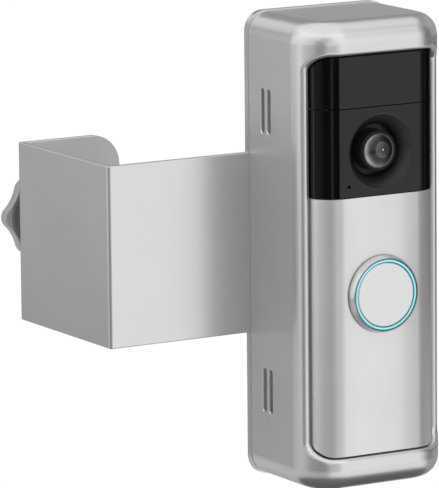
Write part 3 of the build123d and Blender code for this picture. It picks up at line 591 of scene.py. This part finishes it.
def thread_group(material):
    """Node group that winds a thread round the Y axis, from the origin along +Y."""
    tree = bpy.data.node_groups.new("rolled_thread", "GeometryNodeTree")
    for name, value in SCREW_THREAD.items():
        kind = "NodeSocketInt" if isinstance(value, int) else "NodeSocketFloat"
        tree.interface.new_socket(name, in_out="INPUT", socket_type=kind)
    tree.interface.new_socket("Geometry", in_out="OUTPUT", socket_type="NodeSocketGeometry")
    given = add(tree, "NodeGroupInput").outputs
    turns = add(tree, "ShaderNodeMath", {"operation": "DIVIDE"}, [given["Length"], given["Pitch"]]).outputs[0]
    rows = add(tree, "ShaderNodeMath", {"operation": "MULTIPLY"}, [turns, given["Rows per turn"]]).outputs[0]
    grid = add(tree, "GeometryNodeMeshGrid", {"Size X": 1.0, "Size Y": 1.0}, Vertices_X=given["Columns"],
               Vertices_Y=rows)
    spot = add(tree, "GeometryNodeInputPosition").outputs["Position"]
    spot = add(tree, "ShaderNodeVectorMath", {"operation": "ADD"}, [spot, (0.5, 0.5, 0)]).outputs["Vector"]
    spot = add(tree, "ShaderNodeSeparateXYZ", None, [spot]).outputs
    angle = add(tree, "ShaderNodeMath", {"operation": "MULTIPLY"}, [spot["X"], math.tau]).outputs[0]
    climbed = add(tree, "ShaderNodeMath", {"operation": "MULTIPLY"}, [spot["Y"], turns]).outputs[0]
    phase = add(tree, "ShaderNodeMath", {"operation": "ADD"}, [climbed, spot["X"]]).outputs[0]
    from_crest = add(tree, "ShaderNodeMath", {"operation": "PINGPONG"}, [phase, 0.5]).outputs[0]
    flank = add(tree, "ShaderNodeMapRange", {
        "interpolation_type": "SMOOTHSTEP", "From Min": FLANK_FROM, "From Max": FLANK_TO, "To Min": 1.0,
        "To Max": 0.0}, [from_crest])
    to_end = add(tree, "ShaderNodeMath", {"operation": "SUBTRACT"}, [turns, climbed]).outputs[0]
    run_out = add(tree, "ShaderNodeMath", {"operation": "MINIMUM", "use_clamp": True}, [climbed, to_end])
    height = add(tree, "ShaderNodeMath", {"operation": "MULTIPLY"}, [flank.outputs[0], run_out.outputs[0]])
    depth = add(tree, "ShaderNodeMath", {"operation": "SUBTRACT"},
                [given["Crest radius"], given["Core radius"]])
    radius = add(tree, "ShaderNodeMath", {"operation": "MULTIPLY_ADD"},
                 [height.outputs[0], depth.outputs[0], given["Core radius"]]).outputs[0]
    across = add(tree, "ShaderNodeMath", {"operation": "COSINE"}, [angle]).outputs[0]
    upward = add(tree, "ShaderNodeMath", {"operation": "SINE"}, [angle]).outputs[0]
    along = add(tree, "ShaderNodeMath", {"operation": "MULTIPLY"}, [spot["Y"], given["Length"]]).outputs[0]
    outward = add(tree, "ShaderNodeCombineXYZ", None, [across, 0.0, upward]).outputs[0]
    outward = add(tree, "ShaderNodeVectorMath", {"operation": "SCALE"}, [outward], Scale=radius).outputs[0]
    along = add(tree, "ShaderNodeCombineXYZ", None, [0.0, along, 0.0]).outputs[0]
    place = add(tree, "ShaderNodeVectorMath", {"operation": "ADD"}, [outward, along]).outputs[0]
    wound = add(tree, "GeometryNodeSetPosition", None, Geometry=grid.outputs["Mesh"], Position=place)
    closed = add(tree, "GeometryNodeMergeByDistance", {"Distance": WELD_MM * MM},
                 Geometry=wound.outputs["Geometry"])
    smooth = add(tree, "GeometryNodeSetShadeSmooth", None, Geometry=closed.outputs["Geometry"])
    real = add(tree, "GeometryNodeRealizeInstances", None, Geometry=smooth.outputs["Geometry"])
    coated = add(tree, "GeometryNodeSetMaterial", {"Material": material}, Geometry=real.outputs["Geometry"])
    add(tree, "NodeGroupOutput", None, Geometry=coated.outputs["Geometry"])
    return tree


def wind_thread(material):
    """Mesh of the thread, with its node group already applied."""
    carrier = bpy.data.objects.new("thread_carrier", bpy.data.meshes.new("thread_carrier"))
    bpy.context.collection.objects.link(carrier)
    nodes = carrier.modifiers.new("rolled_thread", "NODES")
    nodes.node_group = thread_group(material)
    for entry in nodes.node_group.interface.items_tree:
        if entry.name in SCREW_THREAD:
            nodes[entry.identifier] = SCREW_THREAD[entry.name]
    ready = carrier.evaluated_get(bpy.context.evaluated_depsgraph_get())
    mesh = bpy.data.meshes.new_from_object(ready)
    carrier.modifiers.remove(nodes)
    bpy.data.objects.remove(carrier)
    return mesh


print("turns of thread:", round(SCREW_THREAD["Length"] / SCREW_THREAD["Pitch"], 1))

# %% [markdown]
# ## The rest of the screw
# The thread is joined to what a lathe makes of the rest: a ball in front that the foot snaps on, a neck
# that lets the foot tilt, a core under the thread, and a hexagon head with chamfered corners behind.

# %% Whole clamp screw
BALL_R, NECK_R, CORE_R = 2.4 * MM, 1.7 * MM, 2.4 * MM
NECK_FROM_BALL, SHOULDER, HEAD_HEIGHT = 1.9 * MM, 0.7 * MM, 2.6 * MM
HEAD_CHAMFER, HEAD_TOP_SHARE = 0.5 * MM, 0.47
ROD_SIDES, HEAD_SIDES = 32, 96


def clamp_screw(material):
    """Threaded rod with a ball end in front and a hexagon head behind, on the clamp's axis."""
    low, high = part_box("clamp_screw")
    middle, head = low.y + BALL_R, high.y - HEAD_HEIGHT
    shoulder = head - SCREW_THREAD["Length"]
    shape = bmesh.new()
    shape.from_mesh(wind_thread(material))
    bmesh.ops.translate(shape, vec=(0, shoulder, 0), verts=shape.verts)
    swing = [math.radians(10 * k) for k in range(1, 14)]
    section = [(BALL_R * math.sin(a), middle - BALL_R * math.cos(a)) for a in swing]
    section += [(NECK_R, middle + NECK_FROM_BALL), (NECK_R, shoulder - SHOULDER), (CORE_R, shoulder),
                (CORE_R, head)]
    turn_section(shape, section, ROD_SIDES)
    flats = high.z - low.z
    top, corner = flats * HEAD_TOP_SHARE, flats / 2 / math.cos(math.pi / 6)
    chamfer = [(top + (corner - top) * k / 8, high.y - HEAD_CHAMFER * k / 8) for k in range(9)]
    turn_section(shape, chamfer + [(corner, head)], HEAD_SIDES, flats)
    turned_piece("clamp_screw_threaded", shape, CLAMP_AXIS, "clamp_screw", "screw", material)


clamp_screw(steel)

# %% [markdown]
# ## White room and floor
# The background is white, and the object hangs in front of it at the height of a door lock, so its floor
# is some way below. The room is white to the eye and in every mirror, and a little dimmer as a light, so
# that pale silver keeps its tone. The floor glows in the same way, but less near the object, where its
# shadow falls.

# %% White room and floor
FLOOR_DROP, FLOOR_HALF = 0.35, 4
SHADOW_REACH, SHADOW_GLOW = 1.2, 0.6
ROOM_LIGHT = 0.88


def mirrored_or_seen(tree):
    """1 for the rays that look at the background directly, in a mirror or through glass."""
    path = add(tree, "ShaderNodeLightPath")
    seen = add(tree, "ShaderNodeMath", {"operation": "MAXIMUM"},
               [path.outputs["Is Camera Ray"], path.outputs["Is Glossy Ray"]]).outputs[0]
    through = path.outputs["Is Transmission Ray"]
    return add(tree, "ShaderNodeMath", {"operation": "MAXIMUM"}, [seen, through]).outputs[0]


def white_room():
    """World that is white where it is looked at, and lights the object at the room's own level."""
    world = bpy.data.worlds.new("white_room")
    bpy.context.scene.world = world
    world.use_nodes = True
    tree = world.node_tree
    tree.nodes.clear()
    seen = mirrored_or_seen(tree)
    level = add(tree, "ShaderNodeMapRange", {"To Min": ROOM_LIGHT, "To Max": 1.0}, Value=seen)
    back = add(tree, "ShaderNodeBackground", {"Color": (1, 1, 1, 1)}, Strength=level.outputs["Result"])
    add(tree, "ShaderNodeOutputWorld", None, Surface=back.outputs["Background"])


def pale_floor():
    """White floor that glows to the eye, but less so near the object, where its shadow falls."""
    material, tree, shader, place = new_material("pale_floor", {"Roughness": 0.9})
    tree.links.new(tint(tree, grain(tree, place, 400, 1), "#FAFAFA", "#FFFFFF"), shader.inputs["Base Color"])
    near = add(tree, "ShaderNodeMapping", {"Scale": (1 / SHADOW_REACH,) * 3}, Vector=place)
    near = add(tree, "ShaderNodeTexGradient", {"gradient_type": "SPHERICAL"}, Vector=near.outputs["Vector"])
    share = add(tree, "ShaderNodeMapRange", {"To Min": 1.0, "To Max": SHADOW_GLOW}, Value=near.outputs["Fac"])
    glow_share = add(tree, "ShaderNodeMath", {"operation": "MULTIPLY"},
                     [mirrored_or_seen(tree), share.outputs["Result"]])
    glow = add(tree, "ShaderNodeEmission", {"Color": (1, 1, 1, 1), "Strength": 1.0})
    mix = add(tree, "ShaderNodeMixShader", None, [glow_share.outputs[0], shader.outputs[0], glow.outputs[0]])
    tree.links.new(mix.outputs["Shader"], tree.nodes["Material Output"].inputs["Surface"])
    return material


SQUARE = [(-1, -1), (1, -1), (1, 1), (-1, 1)]
floor_mesh = bpy.data.meshes.new("floor")
floor_mesh.from_pydata([(x * FLOOR_HALF, y * FLOOR_HALF, 0) for x, y in SQUARE], [], [(0, 1, 2, 3)])
floor_mesh.materials.append(pale_floor())
floor = bpy.data.objects.new("floor", floor_mesh)
floor.location.z = -FLOOR_DROP
bpy.context.collection.objects.link(floor)
white_room()
print("floor, in mm below the doorbell's middle:", round(FLOOR_DROP / MM))

# %% [markdown]
# ## Cards
# Silver only shows its form by what it mirrors, so grey and black cards stand round the doorbell, as in a
# real product studio. They are seen only in reflections. Azimuth 0 is in front of the doorbell and 90 on
# its right. The camera stands at -30, so a face that looks straight ahead mirrors the card at 30, and a
# face that is turned 10 degrees to the left mirrors the one at 10. Each row is a ring between two edges,
# given as (radius, height), and a list of (from azimuth, to azimuth, level), where level 1 is white.

# %% Cards
CARD_FACET_DEG = 4
CARD_ROWS = [
    ((0.3, -0.33), (0.9, -0.33), [
        (-230, -100, 0.5), (-100, -25, 0.42), (-25, 60, 0.85), (60, 130, 0.3)]),
    ((0.9, -0.33), (0.9, -0.20), [
        (-230, -145, 0.1), (-145, -115, 0.42), (-115, -85, 0.32), (-85, -28, 0.01), (-28, 4, 0.42),
        (4, 36, 1.03), (36, 43, 0.8), (43, 52, 0.35), (52, 80, 0.06), (80, 130, 0.35)]),
    ((0.9, -0.20), (0.9, -0.05), [
        (-230, -160, 0.08), (-160, -130, 0.38), (-130, -115, 0.32), (-115, -100, 0.9), (-100, -85, 0.26),
        (-85, -70, 0.23), (-70, -58, 0.15), (-58, -28, 0.06), (-28, -16, 0.33), (-16, 8, 0.05), (8, 38, 0.87),
        (38, 44, 0.75), (44, 52, 0.42), (52, 80, 0.1), (80, 130, 0.02)]),
    ((0.9, -0.05), (0.9, 0.33), [
        (-230, -178, 0.38), (-178, -145, 0.08), (-145, -85, 0.83), (-85, -58, 0.69), (-58, -28, 0.2),
        (-28, 4, 0.78), (4, 36, 0.99), (36, 43, 0.8), (43, 52, 0.35), (52, 80, 0.06), (80, 130, 0.35)]),
    ((0.9, 0.33), (0.9, 0.65), [
        (-230, -178, 0.2), (-178, -130, 0.64), (-130, -85, 0.95), (-85, -45, 0.7), (-45, -10, 0.42),
        (-10, 36, 1.0), (36, 52, 0.4), (52, 80, 0.1), (80, 130, 0.4)]),
    ((0.9, 0.65), (0.9, 1.1), [
        (-230, -178, 0.2), (-178, -130, 0.9), (-130, 45, 1.1), (45, 80, 0.34), (80, 130, 0.15)])]


def glow_material(name, level):
    """Plain glow, where level 1 is white."""
    material = bpy.data.materials.new(name)
    material.use_nodes = True
    tree = material.node_tree
    tree.nodes.clear()
    glow = add(tree, "ShaderNodeEmission", {"Color": (level, level, level, 1), "Strength": 1.0})
    add(tree, "ShaderNodeOutputMaterial", None, Surface=glow.outputs["Emission"])
    return material


def hang_card(name, points, faces, level):
    """Card of the studio, which shows only in reflections."""
    mesh = bpy.data.meshes.new(name)
    mesh.from_pydata(points, [], faces)
    mesh.materials.append(glow_material(name + "_tone", level))
    piece = bpy.data.objects.new(name, mesh)
    bpy.context.collection.objects.link(piece)
    piece.visible_camera = False
    piece.visible_shadow = False
    piece.visible_diffuse = False


def ring_card(from_deg, to_deg, level, low, high):
    """Card bent round the doorbell between two azimuths, and between two (radius, height) edges."""
    steps = max(2, int(abs(to_deg - from_deg) / CARD_FACET_DEG))
    turns = [math.radians(from_deg + (to_deg - from_deg) * i / steps) for i in range(steps + 1)]
    points = [(radius * math.sin(t), -radius * math.cos(t), z) for t in turns for radius, z in (low, high)]
    faces = [(2 * i, 2 * i + 2, 2 * i + 3, 2 * i + 1) for i in range(steps)]
    hang_card(f"card_{from_deg}_{high[1]}".replace("-", "m"), points, faces, level)


def flat_card(name, height, half, level):
    """Square level card in the middle of the rings, where half is half its side."""
    hang_card(name, [(x * half, y * half, height) for x, y in SQUARE], [(0, 1, 2, 3)], level)


for low, high, cards in CARD_ROWS:
    for from_deg, to_deg, level in cards:
        ring_card(from_deg, to_deg, level, low, high)
flat_card("card_above", height=1.1, half=0.9, level=0.87)
flat_card("card_below", height=-0.331, half=0.3, level=0.01)
print("cards:", sum(len(cards) for low, high, cards in CARD_ROWS) + 2)

# %% [markdown]
# ## Lamps
# Four wide, weak lamps light what isn't a mirror: the plastics, the foam, the light guide and the satin
# disc. Most of their light comes from the left and from behind. The silver doesn't mirror them, so they
# soften its shadows and leave its reflections to the cards.

# %% Lamps
LAMP_SIZE, LAMP_DISTANCE = 0.8, 1.6
LAMPS = [("front_lamp", -5, 15, 0.8), ("left_lamp", -50, 10, 6.5), ("side_lamp", -90, 0, 2),
         ("back_lamp", 170, 15, 7)]  # azimuth and elevation in degrees, power in watts


def soft_lamp(name, azimuth, elevation, watts):
    """Square lamp that lights the doorbell and isn't mirrored in it."""
    turn, rise = math.radians(azimuth), math.radians(elevation)
    direction = Vector((math.sin(turn) * math.cos(rise), -math.cos(turn) * math.cos(rise), math.sin(rise)))
    lamp = bpy.data.objects.new(name, bpy.data.lights.new(name, "AREA"))
    lamp.data.size = LAMP_SIZE
    lamp.data.energy = watts
    lamp.matrix_world = Matrix.Translation(direction * LAMP_DISTANCE) @ direction.to_track_quat(
        "Z", "Y").to_matrix().to_4x4()
    bpy.context.collection.objects.link(lamp)
    lamp.visible_glossy = False


for name, azimuth, elevation, watts in LAMPS:
    soft_lamp(name, azimuth, elevation, watts)
print("lamps:", len(LAMPS), "with", round(sum(lamp[-1] for lamp in LAMPS), 1), "W")
